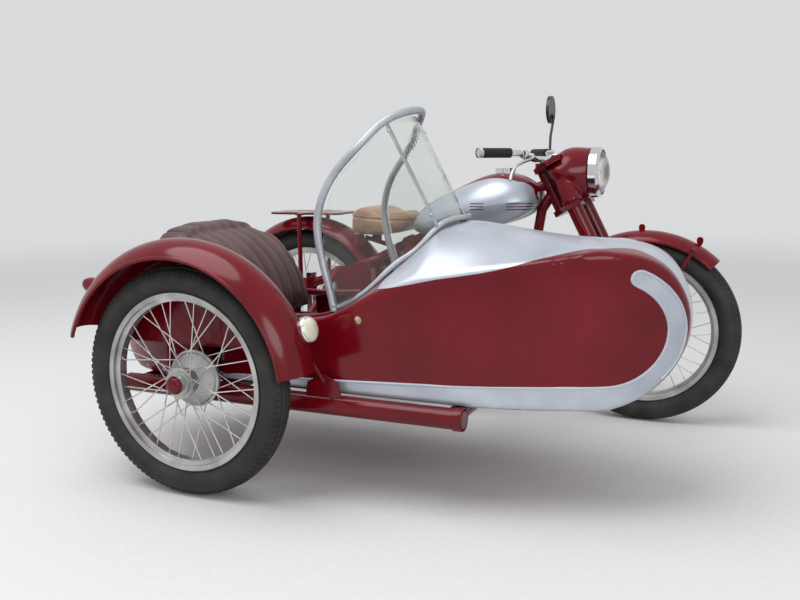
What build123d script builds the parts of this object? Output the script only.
from build123d import *
from math import cos, radians, sin, sqrt
import os

# A two-stroke motorcycle with a sidecar on its right side, in millimetres.
# +X is forward, +Y is left and +Z is up, with the ground at Z = 0.
# Places on the motorcycle are measured from the ground under its rear axle, in its
# centre plane. Places on the sidecar are measured the same way, in the centre plane
# of the sidecar's body.

# Layout
REAR_AXLE_X = -626.0
BIKE_Y = 457.0
WHEELBASE = 1340.0
TRACK = 1201.0
WHEEL_LEAD = 278.0
BODY_OFFSET = TRACK - 421.0

# Clearances
SEAT_GAP = 0.3
PIN_GAP = 0.05

# Wheels and tyres
WHEEL_R = 325.0
TYRE_HALF = 45.0
TYRE_TREAD_HALF = 33.0
TYRE_SHOULDER = 11.0
RIM_SEAT_R = 241.0
RIM_LIP_R = RIM_SEAT_R + 11.0
RIM_HALF = 25.0
RIM_WALL = 3.0
RIM_WELL_R = RIM_SEAT_R - 11.0
RIM_WELL_HALF = 11.0
SPOKE_COUNT = 36
SPOKE_R = 1.9
SPOKE_LEAN = 48.0
DRUM_SPOKE_LEAN = 28.0
AXLE_R = 10.0
HUB_R = 32.5
HUB_FLANGE_R = 45.0
HUB_HALF = 55.0
DRUM_R = 78.0
DRUM_HALF = 46.0

# Steering head and fork
RAKE = 26.8
HEAD_X = WHEELBASE - 306.0
HEAD_Z = 754.0
YOKE_LOW = -20.0
YOKE_HIGH = 150.0
YOKE_THICK = 20.0
YOKE_HALF = 122.0
HEAD_TUBE_R = 24.0
STEM_R = 15.0
LEG_AHEAD = 65.0
LEG_HALF_TRACK = 90.0
LEG_R = 27.0
LEG_BELOW_AXLE = 20.0

# Headlamp
LAMP_X = HEAD_X + 112.0
LAMP_Z = 877.0
LAMP_R = 87.0
LAMP_RIM_DEPTH = 36.0
LAMP_BULGE = 30.0
SHROUD_LOW_R = 37.0
SHROUD_HIGH_R = 24.0

# Handlebar
BAR_R = 11.0
BAR_CLAMP_X = HEAD_X - 76.0
BAR_CLAMP_Z = 920.0
GRIP_R = 16.5
GRIP_LENGTH = 120.0

# Motorcycle frame and rear plungers
FRAME_R = 17.0
BACKBONE_R = 20.0
SEAT_TUBE_X = 366.0
CRADLE_HALF = 95.0
CRADLE_Z = 180.0
PLUNGER_X = 55.0
PLUNGER_HALF = 118.0
PLUNGER_R = 30.0
PLUNGER_BOTTOM = 200.0
PLUNGER_TOP = 490.0
CHAIN_Y = 60.0
RACK_Z = 714.0

# Centre stand
STAND_X = 300.0
STAND_Z = 150.0
STAND_HALF = 78.0
STAND_LEG = 185.0
STAND_R = 10.0
STAND_PIN_R = 6.0

# Engine
CYLINDER_X = 655.0
CYLINDER_Z = 440.0
CRANKCASE_HALF = 92.0
GEARBOX_HALF = 52.0
CYLINDER_TILT = 12.0
FIN_THICK = 4.0
FIN_PITCH = 15.0
FIN_COUNT = 11
FIN_LENGTH = 150.0
FIN_WIDTH = 236.0

# Exhausts
PIPE_R = 18.0
SILENCER_R = 37.0
SILENCER_Y = 190.0
SILENCER_Z = 245.0

# Fuel tank and saddle
TANK_TUNNEL_HALF = 20.5
TANK_TUNNEL_DEPTH = 150.0
SADDLE_HALF = 132.0

# Fenders
SHEET = 3.0
FENDER_BEAD_R = 5.0
# columns: half width, crown's radius, edge's radius
FRONT_ARCH = (LEG_HALF_TRACK - LEG_R - 2 - SEAT_GAP, WHEEL_R + 27, WHEEL_R - 7)
REAR_ARCH = (78.0, WHEEL_R + 53, WHEEL_R + 11)
CAR_ARCH = (82.0, WHEEL_R + 75, WHEEL_R + 27)
FLANK_Z = WHEEL_R + 83

# Sidecar body
BODY_HALF = 282.0
BODY_WALL = 16.0
OPENING_HALF = 228.0
NOSE_X = 1356.0
NOSE_R = 217.0
NOSE_TIP_X = 1580.0
TAIL_X = -236.0

# Cushions
BACKREST_HALF = 222.0

# Sidecar chassis
RAIL_R = 28.0
RAIL_Z = 262.0
OUTER_RAIL = -290.0
INNER_RAIL = 250.0
LINK_R = 13.0
FLOOR_Z = RAIL_Z + RAIL_R + SEAT_GAP
NOSE_Z = FLOOR_Z + NOSE_R

# Windscreen
HOOP_R = 11.0
STRIP_R = 8.0
STRIP_RISE = 9.0
PANE = 4.0
STRUT_WIDTH = 18.0


def bike(x, y, z):
    """A place on the motorcycle, from the ground under its rear axle."""
    return Vector(REAR_AXLE_X + x, BIKE_Y + y, z)


def car(x, y, z):
    """A place on the sidecar, in the centre plane of its body."""
    return Vector(REAR_AXLE_X + x, BIKE_Y - BODY_OFFSET + y, z)


def head(x, y, z):
    """A place ahead of the steering head, across, and up from the ground."""
    return bike(HEAD_X + x, y, z)


def side_plane(y):
    """A plane seen from the right, with forward as its X and up as its Y."""
    return Plane(origin=(REAR_AXLE_X, y, 0), x_dir=(1, 0, 0), z_dir=(0, -1, 0))


def spin_plane(centre, angle=90.0):
    """A plane through an axle: across the wheel as its X, outward as its Y."""
    turn = radians(angle)
    return Plane(origin=centre, x_dir=(0, 1, 0), z_dir=(sin(turn), 0, -cos(turn)))


def steer_point(along, ahead=0.0, across=0.0):
    """A place up the steering axis from the lower yoke, ahead of it and across."""
    lean = radians(RAKE)
    return bike(
        HEAD_X - along * sin(lean) + ahead * cos(lean),
        across,
        HEAD_Z + along * cos(lean) + ahead * sin(lean),
    )


def steer_plane(along):
    """A plane square to the steering axis, with ahead as its X."""
    lean = radians(RAKE)
    return Plane(
        origin=steer_point(along),
        x_dir=(cos(lean), 0, sin(lean)),
        z_dir=(-sin(lean), 0, cos(lean)),
    )


def bar(points, radius, bend=0.0):
    """A round bar through the points, with its corners bent to one radius."""
    with BuildLine() as path:
        if bend:
            FilletPolyline(*points, radius=bend)
        else:
            Line(*points)
    with BuildSketch(Plane(origin=path.line @ 0, z_dir=path.line % 0)) as section:
        Circle(radius)
    sweep(section.sketch, path=path.line)


def drum(start, end, radius, mode=Mode.ADD):
    """A straight round boss or bore from one point to another."""
    axis = end - start
    with BuildSketch(Plane(origin=start, z_dir=axis.normalized())) as section:
        Circle(radius)
    extrude(section.sketch, amount=axis.length, mode=mode)


def body_curve(start, half, low, waist, high):
    """A closed outline, flat below, widest at its waist and round on top."""
    Line((-start, low), (start, low))
    ThreePointArc((start, low), ((start + 2 * half) / 3, low + (waist - low) * 0.4), (half, waist))
    ThreePointArc((half, waist), (half * 0.72, high - (high - waist) * 0.3), (0, high))
    ThreePointArc((0, high), (-half * 0.72, high - (high - waist) * 0.3), (-half, waist))
    ThreePointArc((-half, waist), (-(start + 2 * half) / 3, low + (waist - low) * 0.4), (-start, low))


def cross_plane(place):
    """A plane seen from ahead, with left as its X and up as its Y."""
    return Plane(origin=place, x_dir=(0, 1, 0), z_dir=(1, 0, 0))


def mirrored_pair(half):
    """The two signs of a pair, as offsets from the centre plane."""
    return (-half, half)


def write(name, piece):
    """Labels a finished piece and writes it."""
    piece.part.label = name
    export_step(piece.part, f"parts/{name}.step")


os.makedirs("parts", exist_ok=True)

REAR_AXLE = bike(0, 0, WHEEL_R)
FRONT_AXLE = bike(WHEELBASE, 0, WHEEL_R)
CAR_AXLE = bike(WHEEL_LEAD, -TRACK, WHEEL_R)


# Wheels: one tyre and one spoked wheel, made round an axle along Y at the origin
ORIGIN = Vector(0, 0, 0)

with BuildPart() as tyre_form:
    seat = RIM_SEAT_R + SEAT_GAP
    neck = RIM_HALF - SEAT_GAP
    lip = RIM_LIP_R + 2 * SEAT_GAP
    shoulder = WHEEL_R - TYRE_SHOULDER
    flank_r = (RIM_SEAT_R + WHEEL_R) / 2 + 3
    foot = neck + RIM_WALL + 1
    with BuildSketch(spin_plane(ORIGIN)):
        with BuildLine():
            Polyline((-foot, lip + 3), (-neck, lip), (-neck, seat), (neck, seat), (neck, lip),
                     (foot, lip + 3))
            ThreePointArc((foot, lip + 3), (TYRE_HALF, flank_r), (TYRE_TREAD_HALF, shoulder))
            ThreePointArc((TYRE_TREAD_HALF, shoulder), (0, WHEEL_R), (-TYRE_TREAD_HALF, shoulder))
            ThreePointArc((-TYRE_TREAD_HALF, shoulder), (-TYRE_HALF, flank_r), (-foot, lip + 3))
        make_face()
    revolve(axis=Axis.Y)

with BuildPart() as wheel_form:
    # rim: a well base with a bead seat and a lip on each side
    with BuildSketch(spin_plane(ORIGIN)):
        with BuildLine():
            Polyline(
                (-RIM_HALF - RIM_WALL, RIM_LIP_R),
                (-RIM_HALF, RIM_LIP_R),
                (-RIM_HALF, RIM_SEAT_R),
                (-RIM_WELL_HALF - 4, RIM_SEAT_R),
                (-RIM_WELL_HALF, RIM_WELL_R),
                (RIM_WELL_HALF, RIM_WELL_R),
                (RIM_WELL_HALF + 4, RIM_SEAT_R),
                (RIM_HALF, RIM_SEAT_R),
                (RIM_HALF, RIM_LIP_R),
                (RIM_HALF + RIM_WALL, RIM_LIP_R),
                (RIM_HALF + RIM_WALL, RIM_SEAT_R - RIM_WALL),
                (RIM_WELL_HALF + 5, RIM_SEAT_R - RIM_WALL),
                (RIM_WELL_HALF + 1, RIM_WELL_R - RIM_WALL),
                (-RIM_WELL_HALF - 1, RIM_WELL_R - RIM_WALL),
                (-RIM_WELL_HALF - 5, RIM_SEAT_R - RIM_WALL),
                (-RIM_HALF - RIM_WALL, RIM_SEAT_R - RIM_WALL),
                close=True,
            )
        make_face()
    revolve(axis=Axis.Y)

    # hub: barrel, small flange to the right, conical brake drum to the left
    with BuildSketch(spin_plane(ORIGIN)):
        with BuildLine():
            Polyline(
                (-HUB_HALF, AXLE_R + PIN_GAP),
                (-HUB_HALF, 23),
                (14 - HUB_HALF, 23),
                (16 - HUB_HALF, HUB_R),
                (-34, HUB_R),
                (-34, HUB_FLANGE_R),
                (-30, HUB_FLANGE_R),
                (-28, HUB_R),
                (4, HUB_R + 4),
                (24, DRUM_R - 6),
                (30, DRUM_R - 2),
                (32, DRUM_R + 4),
                (36, DRUM_R + 4),
                (37, DRUM_R),
                (DRUM_HALF, DRUM_R),
                (DRUM_HALF, AXLE_R + PIN_GAP),
                close=True,
            )
        make_face()
    revolve(axis=Axis.Y)

    # spokes: to each flange in turn, every second pair leaning the other way
    spokes = []
    for count in range(SPOKE_COUNT):
        to_drum = count % 2 == 1
        flank, root_r = (33, DRUM_R) if to_drum else (-32, HUB_FLANGE_R - 5)
        lean = DRUM_SPOKE_LEAN if to_drum else SPOKE_LEAN
        turn = radians(360.0 / SPOKE_COUNT * count)
        root_turn = turn + radians(lean if count // 2 % 2 else -lean)
        root = Vector(root_r * cos(root_turn), flank, root_r * sin(root_turn))
        tip_r = RIM_WELL_R - 1
        tip = Vector(tip_r * cos(turn), flank * 0.15, tip_r * sin(turn))
        with BuildSketch(Plane(origin=root, z_dir=(tip - root).normalized())) as spoke:
            RegularPolygon(SPOKE_R, 6)
        spokes.append(extrude(spoke.sketch, amount=(tip - root).length, mode=Mode.PRIVATE))
    add(spokes)

# columns: name, axle centre, turn about Z that puts the drum on its side
WHEELS = [
    ("rear", REAR_AXLE, 180),
    ("front", FRONT_AXLE, 0),
    ("sidecar", CAR_AXLE, 0),
]
for name, axle, turn in WHEELS:
    with BuildPart() as tyre:
        with Locations(Location(axle, (0, 0, turn))):
            add(tyre_form.part)
    write(f"{name}_tyre", tyre)
    with BuildPart() as wheel:
        with Locations(Location(axle, (0, 0, turn))):
            add(wheel_form.part)
    write(f"{name}_wheel", wheel)


# Axles: the front one clamps in the fork, the rear one in the plunger sliders
with BuildPart() as front_axle:
    drum(bike(WHEELBASE, -LEG_HALF_TRACK - 24, WHEEL_R),
         bike(WHEELBASE, LEG_HALF_TRACK + 24, WHEEL_R), AXLE_R)
write("front_axle", front_axle)

with BuildPart() as rear_axle:
    drum(bike(0, -PLUNGER_HALF - 26, WHEEL_R), bike(0, PLUNGER_HALF + 26, WHEEL_R), AXLE_R)
    for y in mirrored_pair(PLUNGER_HALF):
        drum(bike(0, y - 14, WHEEL_R), bike(0, y + 14, WHEEL_R), 24)
write("rear_axle", rear_axle)

with BuildPart() as sidecar_axle:
    drum(bike(WHEEL_LEAD, -TRACK - 50, WHEEL_R), bike(WHEEL_LEAD, -TRACK + 128, WHEEL_R), AXLE_R)
    drum(bike(WHEEL_LEAD, -TRACK + DRUM_HALF + 5, WHEEL_R),
         bike(WHEEL_LEAD, -TRACK + DRUM_HALF + 10, WHEEL_R), 72)
write("sidecar_axle", sidecar_axle)


# Steering head, backbone, front tube, cradle and rear tubes of the motorcycle
head_low = steer_point(52, -15)
head_back = steer_point(20, -66)
head_high = steer_point(95, -12)
seat_node = bike(392, 0, 585)
down_foot = head(-149, 0, 260)
rear_shoulder = (340, 99, 548)
rear_top = (PLUNGER_X, PLUNGER_HALF, PLUNGER_TOP - 50)

with BuildPart() as motorcycle_frame:
    drum(steer_point(YOKE_LOW + YOKE_THICK / 2 + 1), steer_point(YOKE_HIGH - YOKE_THICK / 2 - 1),
         HEAD_TUBE_R)
    bar([head_high, seat_node], BACKBONE_R)
    bar([head_low, head_back, down_foot, head(-189, 0, CRADLE_Z), head(-274, 0, CRADLE_Z)],
        BACKBONE_R - 2, 28)
    # cradle tubes under the engine, and rear tubes from the seat back to the plungers
    for sign in (-1, 1):
        bar([head(-234, 0, CRADLE_Z), head(-294, sign * CRADLE_HALF, CRADLE_Z),
             bike(200, sign * CRADLE_HALF, CRADLE_Z),
             bike(PLUNGER_X, sign * PLUNGER_HALF, PLUNGER_BOTTOM + 20)], FRAME_R, 40)
        x, y, z = rear_shoulder
        bar([seat_node, bike(x, sign * y, z), bike(PLUNGER_X, sign * PLUNGER_HALF, rear_top[2])],
            FRAME_R, 40)
        drum(bike(PLUNGER_X, sign * PLUNGER_HALF, PLUNGER_BOTTOM),
             bike(PLUNGER_X, sign * PLUNGER_HALF, PLUNGER_BOTTOM + 45), PLUNGER_R)
        drum(bike(PLUNGER_X, sign * PLUNGER_HALF, PLUNGER_TOP - 68),
             bike(PLUNGER_X, sign * PLUNGER_HALF, PLUNGER_TOP - 20), PLUNGER_R)
        # lug that carries the centre stand's pivot
        drum(bike(STAND_X, sign * (STAND_HALF + 6), STAND_Z),
             bike(STAND_X, sign * (STAND_HALF + 20), STAND_Z), 15)
        drum(bike(STAND_X, sign * (STAND_HALF + 13), STAND_Z),
             bike(STAND_X, sign * (STAND_HALF + 13), CRADLE_Z), 6)
    drum(seat_node, bike(250, 0, 624), 9)
    # single tube down behind the gearbox, on a cross tube
    bar([seat_node, bike(SEAT_TUBE_X, 0, CRADLE_Z)], FRAME_R - 2)
    drum(bike(SEAT_TUBE_X, -CRADLE_HALF, CRADLE_Z), bike(SEAT_TUBE_X, CRADLE_HALF, CRADLE_Z),
         FRAME_R - 4)
    drum(steer_point(YOKE_LOW), steer_point(YOKE_HIGH), STEM_R + PIN_GAP, Mode.SUBTRACT)
    drum(bike(STAND_X, -STAND_HALF - 30, STAND_Z), bike(STAND_X, STAND_HALF + 30, STAND_Z),
         STAND_PIN_R + PIN_GAP, Mode.SUBTRACT)
write("motorcycle_frame", motorcycle_frame)

# Centre stand, folded back under the frame
with BuildPart() as centre_stand:
    drum(bike(STAND_X, -STAND_HALF - 20, STAND_Z), bike(STAND_X, STAND_HALF + 20, STAND_Z),
         STAND_PIN_R)
    drum(bike(STAND_X, -STAND_HALF, STAND_Z), bike(STAND_X, STAND_HALF, STAND_Z), STAND_R)
    for sign in (-1, 1):
        y = sign * (STAND_HALF - STAND_R)
        drum(bike(STAND_X, y, STAND_Z), bike(STAND_X - STAND_LEG, y, STAND_Z), STAND_R - 1)
        drum(bike(STAND_X - STAND_LEG + 9, y - sign * 6, STAND_Z),
             bike(STAND_X - STAND_LEG + 9, y + sign * 34, STAND_Z), STAND_R - 2)
write("centre_stand", centre_stand)

with BuildPart() as plungers:
    for y in mirrored_pair(PLUNGER_HALF):
        low = PLUNGER_BOTTOM + 45
        high = PLUNGER_TOP - 68
        drum(bike(PLUNGER_X, y, low), bike(PLUNGER_X, y, high), PLUNGER_R - 3)
        drum(bike(PLUNGER_X, y, WHEEL_R - 40), bike(PLUNGER_X, y, WHEEL_R + 40), PLUNGER_R + 2)
        with BuildSketch(Plane.XZ.offset(-(BIKE_Y + y - 14))) as web:
            with Locations((REAR_AXLE_X + PLUNGER_X / 2, WHEEL_R)):
                Rectangle(PLUNGER_X + 10, 40)
        extrude(web.sketch, amount=-28)
        drum(bike(PLUNGER_X, y, PLUNGER_TOP - 20), bike(PLUNGER_X, y, PLUNGER_TOP), PLUNGER_R - 2)
    for y in mirrored_pair(PLUNGER_HALF):
        drum(bike(0, y - 40, WHEEL_R), bike(0, y + 40, WHEEL_R), 24 + SEAT_GAP, Mode.SUBTRACT)
write("plungers", plungers)


# Fork: two legs, two yokes on a stem, and the axle lugs
leg_lean = radians(RAKE)
leg_foot = (HEAD_Z - WHEEL_R + LEG_BELOW_AXLE + LEG_AHEAD * sin(leg_lean)) / cos(leg_lean)

with BuildPart() as fork_legs:
    for y in mirrored_pair(LEG_HALF_TRACK):
        drum(steer_point(YOKE_LOW - YOKE_THICK / 2, LEG_AHEAD, y),
             steer_point(-leg_foot, LEG_AHEAD, y), LEG_R)
        drum(steer_point(-leg_foot / 2, LEG_AHEAD, y),
             steer_point(-leg_foot / 2 - 18, LEG_AHEAD, y), LEG_R + 3)
        drum(bike(WHEELBASE, y - 22, WHEEL_R), bike(WHEELBASE, y + 22, WHEEL_R), 22)
    drum(bike(WHEELBASE, -LEG_HALF_TRACK - 30, WHEEL_R),
         bike(WHEELBASE, LEG_HALF_TRACK + 30, WHEEL_R), AXLE_R + PIN_GAP, Mode.SUBTRACT)
write("fork_legs", fork_legs)


def yoke_plate(along, grow=0, mode=Mode.ADD):
    """One yoke of the fork, notched ahead between its legs, or the same grown all round."""
    with BuildSketch(steer_plane(along)) as yoke:
        with BuildLine():
            Polyline((-26, -28), (-26, 28), (LEG_AHEAD - 22, YOKE_HALF),
                     (LEG_AHEAD + 32, YOKE_HALF), (LEG_AHEAD + 32, 58), (LEG_AHEAD, 44),
                     (LEG_AHEAD, -44), (LEG_AHEAD + 32, -58), (LEG_AHEAD + 32, -YOKE_HALF),
                     (LEG_AHEAD - 22, -YOKE_HALF), close=True)
        make_face()
        if grow:
            offset(amount=grow)
    extrude(yoke.sketch, amount=YOKE_THICK / 2 + grow, both=True, mode=mode)


with BuildPart() as fork_yokes:
    yoke_plate(YOKE_LOW)
    yoke_plate(YOKE_HIGH)
    drum(steer_point(YOKE_LOW), steer_point(YOKE_HIGH), STEM_R)
    for y in mirrored_pair(26):
        drum(bike(BAR_CLAMP_X, y, BAR_CLAMP_Z - 36),
             bike(BAR_CLAMP_X, y, BAR_CLAMP_Z - BAR_R - SEAT_GAP), 12)
write("fork_yokes", fork_yokes)

# Headlamp housing: one casing over the lamp's bowl and both legs, open round the head
# columns: ahead of the head, bottom, top, half width
HOUSING_SECTIONS = [
    (LAMP_X - HEAD_X, LAMP_Z - LAMP_R, LAMP_Z + LAMP_R, LAMP_R),
    (78, LAMP_Z - 96, LAMP_Z + 87, 104),
    (40, LAMP_Z - 84, LAMP_Z + 86, 118),
    (0, LAMP_Z - 56, LAMP_Z + 66, 116),
    (-34, LAMP_Z - 16, LAMP_Z + 34, 92),
]
with BuildPart() as headlamp_shell:
    for ahead, low, high, half in HOUSING_SECTIONS:
        with BuildSketch(cross_plane(head(ahead, 0, 0))):
            with BuildLine():
                body_curve(half * 0.4, half, low, (low + high) / 2, high)
            make_face()
    loft()
    for sign in (-1, 1):
        with BuildSketch(steer_plane(YOKE_LOW + YOKE_THICK / 2 + SEAT_GAP)) as low:
            with Locations((LEG_AHEAD + 3, sign * (LEG_HALF_TRACK + 2))):
                Circle(SHROUD_LOW_R)
        with BuildSketch(steer_plane(YOKE_HIGH - 30)) as high:
            with Locations((LEG_AHEAD + 3, sign * (LEG_HALF_TRACK - 8))):
                Circle(SHROUD_HIGH_R)
        loft([low.sketch, high.sketch])
    drum(steer_point(YOKE_LOW - 60), steer_point(YOKE_HIGH + 60), HEAD_TUBE_R + 8, Mode.SUBTRACT)
    yoke_plate(YOKE_HIGH, SEAT_GAP, Mode.SUBTRACT)
write("headlamp_shell", headlamp_shell)

with BuildPart() as headlamp_rim:
    with BuildSketch(side_plane(BIKE_Y)) as rim:
        with BuildLine():
            Polyline((LAMP_X + SEAT_GAP, LAMP_Z + LAMP_R + 2),
                     (LAMP_X + LAMP_RIM_DEPTH - 10, LAMP_Z + LAMP_R + 2),
                     (LAMP_X + LAMP_RIM_DEPTH, LAMP_Z + LAMP_R - 8),
                     (LAMP_X + LAMP_RIM_DEPTH - 6, LAMP_Z + LAMP_R - 8),
                     (LAMP_X + SEAT_GAP, LAMP_Z + LAMP_R - 6), close=True)
        make_face()
    revolve(axis=Axis(bike(LAMP_X, 0, LAMP_Z), (1, 0, 0)))
write("headlamp_rim", headlamp_rim)

with BuildPart() as headlamp_lens:
    glass_r = LAMP_R - 8 - SEAT_GAP
    glass_x = LAMP_X + LAMP_RIM_DEPTH - 8
    with BuildSketch(side_plane(BIKE_Y)) as lens:
        with BuildLine():
            Line((LAMP_X + SEAT_GAP, LAMP_Z), (glass_x + LAMP_BULGE, LAMP_Z))
            Line((glass_x + LAMP_BULGE, LAMP_Z), (glass_x + LAMP_BULGE, LAMP_Z + 3))
            ThreePointArc((glass_x + LAMP_BULGE, LAMP_Z + 3),
                          (glass_x + LAMP_BULGE * 0.75, LAMP_Z + glass_r * 0.55),
                          (glass_x, LAMP_Z + glass_r))
            Polyline((glass_x, LAMP_Z + glass_r), (LAMP_X + SEAT_GAP, LAMP_Z + 20),
                     (LAMP_X + SEAT_GAP, LAMP_Z))
        make_face()
    revolve(axis=Axis(bike(LAMP_X, 0, LAMP_Z), (1, 0, 0)))
write("headlamp_lens", headlamp_lens)

# Handlebar, grips, levers and mirror
# columns: ahead of the head, across and up, from beside the clamp out to the grip's end
BAR_POINTS = [
    (BAR_CLAMP_X - HEAD_X, 90, BAR_CLAMP_Z + 4),
    (-94, 215, 946),
    (-191, 340, 947),
]
bar_route = [head(x, -y, z) for x, y, z in reversed(BAR_POINTS)]
bar_route += [head(x, y, z) for x, y, z in BAR_POINTS]
grip_end = Vector(BAR_POINTS[2])
grip_run = (grip_end - Vector(BAR_POINTS[1])).normalized()

with BuildPart() as handlebar:
    bar(bar_route, BAR_R, 60)
write("handlebar", handlebar)

with BuildPart() as grips:
    for sign in (-1, 1):
        end = grip_end + grip_run * 8
        start = grip_end - grip_run * GRIP_LENGTH
        drum(head(start.X, sign * start.Y, start.Z), head(end.X, sign * end.Y, end.Z), GRIP_R)
        tip = grip_end + grip_run * SEAT_GAP
        drum(head(start.X, sign * start.Y, start.Z), head(tip.X, sign * tip.Y, tip.Z),
             BAR_R + PIN_GAP, Mode.SUBTRACT)
write("grips", grips)

with BuildPart() as levers:
    for sign in (-1, 1):
        bar([head(-77, sign * 196, 931), head(-87, sign * 250, 928), head(-170, sign * 368, 930)],
            5, 40)
write("levers", levers)

# the mirror's arm stands on the left half of the handlebar
with BuildPart() as mirror:
    bar([head(-89, 180, 953), head(-92, 200, 1010), head(-89, 235, 1085)], 5, 40)
    drum(head(-89, 235, 1085), head(-99, 237, 1085), 8)
    with BuildSketch(Plane(origin=head(-96, 236, 1110), z_dir=(-1, 0, 0))) as glass:
        Circle(52)
    extrude(glass.sketch, amount=12)
write("mirror", mirror)


def fender(axle, half, crown_r, edge_r, rear_angle, front_angle):
    """An arched mudguard round a wheel, with a rolled bead along each edge."""
    with BuildSketch(spin_plane(axle, rear_angle)) as section:
        with BuildLine():
            ThreePointArc((-half, edge_r), (0, crown_r), (half, edge_r))
            Line((half, edge_r), (half - SHEET, edge_r))
            ThreePointArc((half - SHEET, edge_r), (0, crown_r - SHEET), (SHEET - half, edge_r))
            Line((SHEET - half, edge_r), (-half, edge_r))
        make_face()
        for y in mirrored_pair(half - SHEET):
            with Locations((y, edge_r)):
                Circle(FENDER_BEAD_R)
    revolve(section.sketch, axis=Axis(axle, (0, 1, 0)), revolution_arc=rear_angle - front_angle)


def fender_core(axle, half, crown_r, edge_r):
    """Cuts away what would reach through an arched mudguard of those sizes."""
    with BuildSketch(spin_plane(axle)) as section:
        with BuildLine():
            ThreePointArc((-half, edge_r), (0, crown_r + SEAT_GAP), (half, edge_r))
            Polyline((half, edge_r), (half, 200), (-half, 200), (-half, edge_r))
        make_face()
    revolve(section.sketch, axis=Axis(axle, (0, 1, 0)), mode=Mode.SUBTRACT)


# Fenders
with BuildPart() as front_fender:
    fender(FRONT_AXLE, *FRONT_ARCH, 172, 46)
write("front_fender", front_fender)

with BuildPart() as rear_fender:
    fender(REAR_AXLE, *REAR_ARCH, 196, 24)
write("rear_fender", rear_fender)

with BuildPart() as sidecar_fender:
    fender(CAR_AXLE, *CAR_ARCH, 161, 8)
    # flat flank on its inner side, down to a level edge over the hub
    arch_half, crown_r, edge_r = CAR_ARCH
    with BuildSketch(side_plane(CAR_AXLE.Y + arch_half)) as flank:
        with Locations((WHEEL_LEAD, WHEEL_R)):
            Circle(edge_r + 3)
        with Locations((WHEEL_LEAD + 10, FLANK_Z + 200)):
            Rectangle(2 * edge_r - 20, 400, mode=Mode.INTERSECT)
    extrude(flank.sketch, amount=SHEET)
write("sidecar_fender", sidecar_fender)


# Engine: crankcase, finned cylinders, carburettor
tilt = radians(CYLINDER_TILT)
cylinder_up = Vector(sin(tilt), 0, cos(tilt))
cylinder_ahead = Vector(cos(tilt), 0, -sin(tilt))


def cylinder_plane(level):
    """A plane square to the cylinders, at a level above their seat."""
    origin = bike(CYLINDER_X, 0, CYLINDER_Z) + cylinder_up * level
    return Plane(origin=origin, x_dir=cylinder_ahead, z_dir=cylinder_up)


with BuildPart() as engine_crankcase:
    with BuildSketch(side_plane(BIKE_Y)) as case:
        with BuildLine():
            Polyline((500, 232), (720, 212), (768, 300), (750, 400), (690, 430), (600, 440),
                     (500, 420), close=True)
        make_face()
        fillet(case.vertices(), 38)
    extrude(case.sketch, amount=CRANKCASE_HALF, both=True)
    with BuildSketch(side_plane(BIKE_Y)) as gearbox:
        with BuildLine():
            Polyline((560, 236), (560, 418), (450, 408), (404, 340), (430, 250), close=True)
        make_face()
    extrude(gearbox.sketch, amount=GEARBOX_HALF, both=True)
    # seat of the cylinders, square to their lean
    with BuildSketch(cylinder_plane(0)) as seat:
        Rectangle(120, 190)
    extrude(seat.sketch, amount=-40)
    # feet on the cradle tubes
    with BuildSketch(Plane.XY.offset(CRADLE_Z + FRAME_R + SEAT_GAP)) as feet:
        with Locations(*[bike(x, y, 0) for x in (540, 700) for y in mirrored_pair(CRADLE_HALF - 12)]):
            Rectangle(44, 18)
    extrude(feet.sketch, amount=60)
write("engine_crankcase", engine_crankcase)

with BuildPart() as cylinders:
    base = bike(CYLINDER_X, 0, CYLINDER_Z)
    for y in mirrored_pair(55):
        drum(base + Vector(0, y, 0) + cylinder_up * SEAT_GAP,
             base + Vector(0, y, 0) + cylinder_up * 175, 42)
    for count in range(FIN_COUNT):
        with BuildSketch(cylinder_plane(18 + FIN_PITCH * count)) as fin:
            RectangleRounded(FIN_LENGTH, FIN_WIDTH, 38)
        extrude(fin.sketch, amount=FIN_THICK)
write("cylinders", cylinders)

with BuildPart() as exhausts:
    for sign in (-1, 1):
        bar([bike(758, sign * 60, 524), bike(800, sign * 75, 505), bike(850, sign * 130, 380),
             bike(760, sign * 160, 205), bike(420, sign * SILENCER_Y, SILENCER_Z)], PIPE_R, 45)
        drum(bike(440, sign * SILENCER_Y, SILENCER_Z), bike(-240, sign * SILENCER_Y, SILENCER_Z),
             SILENCER_R)
write("exhausts", exhausts)


# Fuel tank: sections from its rear end to its nose
# columns: forward, bottom, top, half width
TANK_SECTIONS = [
    (478, 660, 702, 52),
    (560, 648, 772, 112),
    (700, 660, 841, 146),
    (805, 682, 874, 150),
    (900, 715, 860, 126),
    (962, 765, 820, 60),
]
with BuildPart() as fuel_tank:
    for x, low, high, half in TANK_SECTIONS:
        with BuildSketch(cross_plane(bike(x, 0, 0))):
            with BuildLine():
                body_curve(half * 0.7, half, low, low + (high - low) * 0.42, high)
            make_face()
    loft()
    # tunnel over the frame's backbone
    run = seat_node - head_high
    tunnel = Plane(origin=head_high, x_dir=(0, 1, 0), z_dir=run.normalized())
    with BuildSketch(tunnel) as slot:
        with Locations((0, TANK_TUNNEL_DEPTH / 2 - TANK_TUNNEL_HALF)):
            Rectangle(2 * TANK_TUNNEL_HALF, TANK_TUNNEL_DEPTH)
    extrude(slot.sketch, amount=run.length + 100, mode=Mode.SUBTRACT)
write("fuel_tank", fuel_tank)

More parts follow.
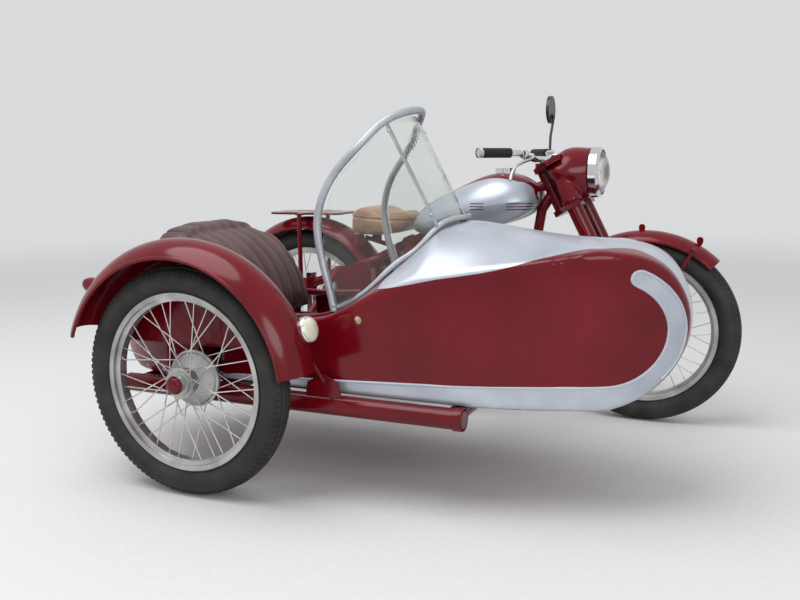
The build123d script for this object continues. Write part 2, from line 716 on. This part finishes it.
with BuildPart() as saddle:
    with BuildSketch(side_plane(BIKE_Y)) as outline:
        with BuildLine():
            Polyline((226, 660), (236, 644), (330, 644), (444, 658), (474, 690), (474, 728),
                     (440, 725), (387, 722), (325, 741), (262, 745), (232, 728), close=True)
        make_face()
    extrude(outline.sketch, amount=SADDLE_HALF, both=True)
    # wide behind and narrow ahead
    with BuildSketch(Plane(origin=bike(0, 0, 0))) as plan:
        with BuildLine():
            ThreePointArc((226, -90), (210, 0), (226, 90))
            ThreePointArc((226, 90), (310, SADDLE_HALF), (474, 66))
            Line((474, 66), (474, -66))
            ThreePointArc((474, -66), (310, -SADDLE_HALF), (226, -90))
        make_face()
    extrude(plan.sketch, amount=900, mode=Mode.INTERSECT)
write("saddle", saddle)


# Sidecar body: a tub up to the shoulder line, with a domed deck ahead and behind
# columns: forward, shoulder's height, rise of the deck's crown over it, half width
DECK_UNDER_SCREEN = [
    (690, 529, 4, 282),
    (765, 564, 56, 282),
    (840, 596, 96, 282),
    (914, 616, 141, 282),
]
DECK_AHEAD = [
    (914, 616, 141, 282),
    (1034, 647, 104, 278),
    (1155, 680, 58, 267),
    (1275, 707, 22, 233),
    (1395, 719, 3, 186),
]
DECK_BEHIND = [
    (230, 487, 6, 276),
    (120, 494, 112, 268),
    (0, 505, 150, 256),
    (-130, 505, 120, 206),
    (-240, 490, 90, 120),
]
# the shoulder line, between the vertical sides and the deck
SHOULDER = [(x, z) for x, z, rise, half in reversed(DECK_BEHIND)]
SHOULDER += [(400, 489), (520, 494), (642, 508)]
SHOULDER += [(x, z) for x, z, rise, half in DECK_UNDER_SCREEN + DECK_AHEAD[1:-1]]
SHOULDER += [(NOSE_X, FLOOR_Z + 2 * NOSE_R)]


def deck_section(x, shoulder, rise, half, inset):
    """One section of a domed deck, wider than the body, or the same moved in."""
    radius = (half**2 + rise**2) / (2 * rise)
    wide = min(half + 20, radius * 0.97)
    crown = shoulder + rise
    centre = crown - radius
    side = centre + sqrt(radius**2 - wide**2)
    with BuildSketch(cross_plane(car(x, 0, 0))) as section:
        with BuildLine():
            Polyline((-wide, side - inset), (-wide, FLOOR_Z + inset), (wide, FLOOR_Z + inset),
                     (wide, side - inset))
            ThreePointArc((wide, side - inset), (0, crown - inset), (-wide, side - inset))
        make_face()
    return section.sketch


def body_form(inset):
    """The body's closed outer form, or the same form moved in by the inset."""
    middle = side_plane(BIKE_Y - BODY_OFFSET)
    low = FLOOR_Z + inset
    with BuildPart() as form:
        with BuildSketch(middle) as tub:
            with BuildLine():
                Spline(*[(x, z - inset) for x, z in SHOULDER])
                nose_top = (NOSE_X, NOSE_Z + NOSE_R - inset)
                tip = (NOSE_X + NOSE_R - inset, NOSE_Z)
                ThreePointArc(nose_top, (NOSE_X + (NOSE_R - inset) * 0.7071,
                                         NOSE_Z + (NOSE_R - inset) * 0.7071), tip)
                ThreePointArc(tip, (NOSE_X + (NOSE_R - inset) * 0.7071,
                                    NOSE_Z - (NOSE_R - inset) * 0.7071), (NOSE_X, low))
                Polyline((NOSE_X, low), (TAIL_X - 4, low), (SHOULDER[0][0], SHOULDER[0][1] - inset))
            make_face()
        extrude(tub.sketch, amount=BODY_HALF, both=True)
        for deck in (DECK_BEHIND, DECK_UNDER_SCREEN, DECK_AHEAD):
            loft([deck_section(*row, inset) for row in deck])
        # plan of the hull
        half = BODY_HALF - inset
        with BuildSketch(Plane(origin=car(0, 0, 0))) as plan:
            with BuildLine():
                Line((350, half), (940, half))
                ThreePointArc((940, half), (1149, half - 14), (1297, half - 57))
                ThreePointArc((1297, half - 57), (1455, half - 131), (1562 - inset, 50))
                ThreePointArc((1562 - inset, 50), (NOSE_TIP_X - inset, 0), (1562 - inset, -50))
                ThreePointArc((1562 - inset, -50), (1455, 131 - half), (1297, 57 - half))
                ThreePointArc((1297, 57 - half), (1149, 14 - half), (940, -half))
                Line((940, -half), (350, -half))
                ThreePointArc((350, -half), (0, 26 - half), (-190 + inset, -130))
                ThreePointArc((-190 + inset, -130), (TAIL_X + inset, 0), (-190 + inset, 130))
                ThreePointArc((-190 + inset, 130), (0, half - 26), (350, half))
            make_face()
        extrude(plan.sketch, amount=900, mode=Mode.INTERSECT)
        # round tail in side view
        with BuildSketch(middle) as tail:
            with BuildLine():
                Polyline((0, low), (1700, low), (1700, 900), (0, 900))
                Polyline((0, 900), (-120, 720))
                ThreePointArc((-120, 720), (TAIL_X + inset, 520), (-150 + inset, low + 60))
                ThreePointArc((-150 + inset, low + 60), (-90 + inset, low + 16), (0, low))
            make_face()
        extrude(tail.sketch, amount=400, both=True, mode=Mode.INTERSECT)
    return form.part


with BuildPart() as cavity:
    add(body_form(BODY_WALL))
    with BuildSketch(side_plane(BIKE_Y - BODY_OFFSET)) as reach:
        with Locations((215, 250)):
            Rectangle(1500, 700, align=(Align.MIN, Align.MIN))
    extrude(reach.sketch, amount=400, both=True, mode=Mode.INTERSECT)

# columns: forward, across, up, along the rim of the opening from its rear end to the crown
RIM_POINTS = [
    (655, 226, 515),
    (685, 220, 529),
    (729, 210, 558),
    (767, 195, 594),
    (810, 175, 638),
    (859, 150, 675),
    (914, 104, 742),
    (950, 0, 757),
]

with BuildPart() as sidecar_body:
    add(body_form(0))
    add(cavity.part, mode=Mode.SUBTRACT)
    # cockpit opening, as wide as the seat and rounded under the windscreen
    with BuildSketch(Plane(origin=car(0, 0, 440))) as opening:
        with BuildLine():
            Polyline((220, OPENING_HALF), (220, -OPENING_HALF), (640, -OPENING_HALF))
            Spline((640, -OPENING_HALF), *[(x, -y) for x, y, z in RIM_POINTS[1:-1]],
                   *[(x, y) for x, y, z in reversed(RIM_POINTS[1:])], (640, OPENING_HALF))
            Line((640, OPENING_HALF), (220, OPENING_HALF))
        make_face()
    extrude(opening.sketch, amount=500, mode=Mode.SUBTRACT)
    # slope behind the backrest
    with BuildSketch(side_plane(BIKE_Y - BODY_OFFSET)) as slope:
        with BuildLine():
            ThreePointArc((-100, 705), (112, 610), (220, 440))
            Polyline((220, 440), (260, 440), (260, 900), (-100, 900), (-100, 705))
        make_face()
    extrude(slope.sketch, amount=BACKREST_HALF + 6, both=True, mode=Mode.SUBTRACT)
write("sidecar_body", sidecar_body)

with BuildPart() as seat_cushion:
    with BuildSketch(Plane(origin=car(450, 0, FLOOR_Z + BODY_WALL + 4))) as seat:
        RectangleRounded(440, 480, 60)
    extrude(seat.sketch, amount=110)
write("seat_cushion", seat_cushion)

with BuildPart() as backrest:
    with BuildSketch(side_plane(BIKE_Y - BODY_OFFSET)) as back:
        with BuildLine():
            ThreePointArc((5, 677.92), (113, 609.09), (221, 436.66))
            Line((221, 436.66), (312, 434))
            ThreePointArc((312, 434), (264, 595), (112, 706))
            ThreePointArc((112, 706), (62, 738), (8, 722))
            Line((8, 722), (5, 677.92))
        make_face()
    extrude(back.sketch, amount=BACKREST_HALF, both=True)
    # rounded shoulders
    with BuildSketch(cross_plane(car(-200, 0, 0))) as shoulders:
        with BuildLine():
            Polyline((BACKREST_HALF, 640), (BACKREST_HALF, 400), (-BACKREST_HALF, 400),
                     (-BACKREST_HALF, 640))
            ThreePointArc((-BACKREST_HALF, 640), (-200, 695), (-145, 724))
            ThreePointArc((-145, 724), (0, 742), (145, 724))
            ThreePointArc((145, 724), (200, 695), (BACKREST_HALF, 640))
        make_face()
    extrude(shoulders.sketch, amount=700, mode=Mode.INTERSECT)
write("backrest", backrest)


# Windscreen: hoop, base strip, struts and panes
# columns: forward, across, up, from one foot to the crown
HOOP_POINTS = [
    (647, 234, 513),
    (612, 226, 640),
    (594, 221, 770),
    (636, 205, 886),
    (712, 176, 976),
    (757, 121, 1034),
    (808, 0, 1066),
]


def mirrored_route(points, lift=0):
    """A smooth line from one side over the middle, where the points end, to the other."""
    near = [car(x, -y, z + lift) for x, y, z in points]
    far = [car(x, y, z + lift) for x, y, z in reversed(points[:-1])]
    return near + far


def smooth_bar(points, radius):
    """A round bar along a smooth line through the points."""
    with BuildLine() as path:
        Spline(*points)
    with BuildSketch(Plane(origin=path.line @ 0, z_dir=path.line % 0)) as section:
        Circle(radius)
    sweep(section.sketch, path=path.line)


with BuildPart() as windscreen_hoop:
    smooth_bar(mirrored_route(HOOP_POINTS), HOOP_R)
write("windscreen_hoop", windscreen_hoop)

with BuildPart() as windscreen_strip:
    smooth_bar(mirrored_route(RIM_POINTS, STRIP_RISE), STRIP_R)
    add(sidecar_body.part, mode=Mode.SUBTRACT)
    add(windscreen_hoop.part, mode=Mode.SUBTRACT)
write("windscreen_strip", windscreen_strip)

# Sidecar chassis: two rails, three cross tubes, the wheel's carrier and link stubs
LINK_X = (150, 500, 880)

with BuildPart() as sidecar_frame:
    for y in (OUTER_RAIL, INNER_RAIL):
        drum(car(-40, y, RAIL_Z), car(1050, y, RAIL_Z), RAIL_R)
    for x in (0, WHEEL_LEAD, 1012):
        drum(car(x, OUTER_RAIL, RAIL_Z), car(x, INNER_RAIL, RAIL_Z), RAIL_R - 4)
    for x in LINK_X:
        drum(car(x, INNER_RAIL, RAIL_Z), car(x, INNER_RAIL + 60, RAIL_Z), 16)
    carrier = -TRACK + DRUM_HALF + 14
    drum(bike(WHEEL_LEAD, carrier, WHEEL_R), bike(WHEEL_LEAD, carrier + 64, WHEEL_R), 24)
    with BuildSketch(Plane.XY.offset(RAIL_Z)) as web:
        with Locations(bike(WHEEL_LEAD, carrier + 44, 0)):
            Rectangle(36, 40)
    extrude(web.sketch, amount=WHEEL_R - RAIL_Z)
    drum(bike(WHEEL_LEAD, carrier, WHEEL_R), bike(WHEEL_LEAD, carrier + 84, WHEEL_R),
         AXLE_R + PIN_GAP, Mode.SUBTRACT)
write("sidecar_frame", sidecar_frame)

# Links from the sidecar's stubs to clamps on the motorcycle's frame
def tube_place(start, end, height):
    """The point at a height on a straight tube, and the tube's direction."""
    run = end - start
    return start + run * ((height - start.Z) / run.Z), run.normalized()


rear_run = (bike(rear_shoulder[0], -rear_shoulder[1], rear_shoulder[2]),
            bike(PLUNGER_X, -PLUNGER_HALF, rear_top[2]))
# columns: forward at the stub, tube's start, tube's end, tube's radius, height of the clamp
LINKS = [
    (150, rear_run[0], rear_run[1], FRAME_R, 486),
    (500, head_high, seat_node, BACKBONE_R, 608),
    (880, head_back, down_foot, BACKBONE_R - 2, 420),
]
with BuildPart() as sidecar_links:
    for x, start, end, radius, height in LINKS:
        place, along = tube_place(start, end, height)
        foot = car(x, INNER_RAIL + 60 + SEAT_GAP, RAIL_Z)
        bar([foot, foot + Vector(0, 30, 0), place - Vector(0, radius + 4, 0)], LINK_R, 24)
        drum(foot, foot + Vector(0, 8, 0), 20)
        drum(place - along * 20, place + along * 20, radius + 8)
    for x, start, end, radius, height in LINKS:
        place, along = tube_place(start, end, height)
        drum(place - along * 60, place + along * 60, radius + SEAT_GAP, Mode.SUBTRACT)
write("sidecar_links", sidecar_links)


# Windscreen struts and panes
strut_foot = Vector(910, 118, 750)
strut_top = Vector(757, 121, 1034)
strut_rise = strut_top - strut_foot

with BuildPart() as windscreen_struts:
    for sign in (-1, 1):
        foot = car(strut_foot.X, sign * strut_foot.Y, strut_foot.Z)
        top = car(strut_top.X, sign * strut_top.Y, strut_top.Z)
        with BuildSketch(Plane(origin=foot, x_dir=(0, 1, 0), z_dir=(top - foot).normalized())) as strut:
            Rectangle(STRUT_WIDTH, PANE)
        extrude(strut.sketch, amount=(top - foot).length)
    add(windscreen_hoop.part, mode=Mode.SUBTRACT)
    add(windscreen_strip.part, mode=Mode.SUBTRACT)
write("windscreen_struts", windscreen_struts)

# columns: forward and up, round a side pane from the strut's foot
SIDE_PANE = [
    (907, 756), (859, 690), (810, 652), (767, 608), (729, 572), (690, 544), (655, 532),
    (624, 640), (604, 770), (642, 882), (700, 950), (716, 976), (744, 1018), (755, 1033),
]
with BuildPart() as windscreen_panes:
    # front pane, curved between the struts
    with BuildSketch(Plane(origin=car(0, 0, strut_foot.Z))) as front:
        with BuildLine():
            edge = strut_foot.Y - STRUT_WIDTH / 2
            ThreePointArc((912, -edge), (948, 0), (912, edge))
            Line((912, edge), (912 - PANE, edge))
            ThreePointArc((912 - PANE, edge), (948 - PANE, 0), (912 - PANE, -edge))
            Line((912 - PANE, -edge), (912, -edge))
        make_face()
    extrude(front.sketch, amount=strut_rise.length + 20, dir=Vector(strut_rise.X, 0, strut_rise.Z))
    # a side pane from each strut back to the hoop
    for sign in (-1, 1):
        foot = car(strut_foot.X, sign * strut_foot.Y, strut_foot.Z)
        back = car(594, sign * 221, 770)
        top = car(strut_top.X, sign * strut_top.Y, strut_top.Z)
        normal = (top - foot).cross(back - foot).normalized() * sign
        ahead = Vector(0, 0, 1).cross(normal).normalized()
        corners = []
        for x, z in SIDE_PANE:
            place = car(x, 0, z)
            reach = ((foot - place).dot(normal)) / normal.Y
            corners.append(place + Vector(0, reach, 0))
        with BuildSketch(Plane(origin=foot, x_dir=ahead, z_dir=normal)) as pane:
            with BuildLine():
                plane = Plane(origin=foot, x_dir=ahead, z_dir=normal)
                flat = [plane.to_local_coords(corner) for corner in corners]
                Polyline(*[(point.X, point.Y) for point in flat], close=True)
            make_face()
        extrude(pane.sketch, amount=PANE / 2, both=True)
    add(windscreen_hoop.part, mode=Mode.SUBTRACT)
    add(windscreen_struts.part, mode=Mode.SUBTRACT)
    add(windscreen_strip.part, mode=Mode.SUBTRACT)
write("windscreen_panes", windscreen_panes)


# Motorcycle details
with BuildPart() as filler_cap:
    drum(bike(828, 0, 862), bike(828, 0, 893), 38)
    add(fuel_tank.part, mode=Mode.SUBTRACT)
write("filler_cap", filler_cap)

with BuildPart() as saddle_springs:
    for y in mirrored_pair(80):
        drum(bike(262, y, 604), bike(262, y, 644 - SEAT_GAP), 20)
        drum(bike(262, y, 616), bike(262, 9.3 if y > 0 else -9.3, 616), 8)
write("saddle_springs", saddle_springs)

with BuildPart() as rack:
    strut_x = PLUNGER_X - PLUNGER_R - 9 - SEAT_GAP
    with BuildSketch(Plane(origin=bike(10, 0, RACK_Z))) as plate:
        RectangleRounded(320, 180, 40)
        with Locations((strut_x - 10, 0)):
            Rectangle(26, 2 * PLUNGER_HALF + 18)
        with GridLocations(120, 120, 2, 2):
            RectangleRounded(90, 24, 10, mode=Mode.SUBTRACT)
    extrude(plate.sketch, amount=8)
    # a strut from each side of the plate down to the plungers
    for y in mirrored_pair(PLUNGER_HALF):
        drum(bike(strut_x, y, RACK_Z + 4), bike(strut_x, y, PLUNGER_TOP - 60), 9)
write("rack", rack)

with BuildPart() as tail_lamp:
    drum(bike(-345, 0, 432), bike(-398, 0, 432), 24)
    fender_core(REAR_AXLE, *REAR_ARCH)
    add(rear_fender.part, mode=Mode.SUBTRACT)
write("tail_lamp", tail_lamp)

with BuildPart() as toolboxes:
    for sign in (-1, 1):
        with BuildSketch(side_plane(BIKE_Y + sign * 125.8)) as box:
            with BuildLine():
                Polyline((205, 340), (350, 330), (350, 520), (320, 545), (205, 520), close=True)
            make_face()
            fillet(box.vertices(), 20)
        extrude(box.sketch, amount=-sign * 40)
write("toolboxes", toolboxes)

with BuildPart() as chain_case:
    with BuildSketch(side_plane(BIKE_Y + CHAIN_Y)) as run:
        with BuildLine():
            Polyline((0, WHEEL_R - 64), (380, WHEEL_R - 44), (380, WHEEL_R + 44),
                     (0, WHEEL_R + 64), close=True)
        make_face()
        with Locations((0, WHEEL_R)):
            Circle(64)
        with Locations((380, WHEEL_R)):
            Circle(44)
        with Locations((0, WHEEL_R)):
            Circle(AXLE_R + PIN_GAP, mode=Mode.SUBTRACT)
    extrude(run.sketch, amount=-24)
write("chain_case", chain_case)

with BuildPart() as foot_controls:
    for sign in (-1, 1):
        drum(bike(470, sign * (CRADLE_HALF + FRAME_R + SEAT_GAP), 190), bike(470, sign * 205, 190), 9)
        drum(bike(470, sign * 135, 190), bike(470, sign * 205, 190), 14)
    bar([bike(560, CRANKCASE_HALF + SEAT_GAP, 300), bike(560, 125, 300), bike(660, 135, 270)], 7, 12)
write("foot_controls", foot_controls)

with BuildPart() as carburettor:
    inlet = bike(CYLINDER_X, 0, CYLINDER_Z) + cylinder_up * 75 - cylinder_ahead * (FIN_LENGTH / 2)
    drum(inlet - cylinder_ahead * SEAT_GAP, inlet - cylinder_ahead * 40, 22)
    drum(bike(575, 0, 526), bike(500, 0, 520), 24)
    drum(bike(530, 0, 470), bike(530, 0, 560), 16)
write("carburettor", carburettor)


# Sidecar details
with BuildPart() as sidecar_front_lamp:
    drum(CAR_AXLE + Vector(297, 49, 155), CAR_AXLE + Vector(386, 41, 167), 37)
    fender_core(CAR_AXLE, *CAR_ARCH)
    add(sidecar_fender.part, mode=Mode.SUBTRACT)
write("sidecar_front_lamp", sidecar_front_lamp)

with BuildPart() as sidecar_tail_lamp:
    drum(CAR_AXLE + Vector(-298, 0, 247), CAR_AXLE + Vector(-352, 0, 261), 28)
    fender_core(CAR_AXLE, *CAR_ARCH)
    add(sidecar_fender.part, mode=Mode.SUBTRACT)
write("sidecar_tail_lamp", sidecar_tail_lamp)

# bracket on the outer rail and a strap from it up to the fender's inner edge
with BuildPart() as fender_stay:
    rail = BIKE_Y - BODY_OFFSET + OUTER_RAIL
    with BuildSketch(side_plane(rail - 9)) as bracket:
        with BuildLine():
            Polyline((585, RAIL_Z), (704, RAIL_Z), (690, 330), (642, 352), (596, 326), close=True)
        make_face()
    extrude(bracket.sketch, amount=6)
    bead_y = CAR_AXLE.Y + CAR_ARCH[0] - SHEET
    bar([Vector(CAR_AXLE.X + 343, bead_y + 10.4, WHEEL_R + 79), bike(648, rail - BIKE_Y - 16, 330)], 5)
    drum(car(560, OUTER_RAIL, RAIL_Z), car(720, OUTER_RAIL, RAIL_Z), RAIL_R + SEAT_GAP, Mode.SUBTRACT)
write("fender_stay", fender_stay)
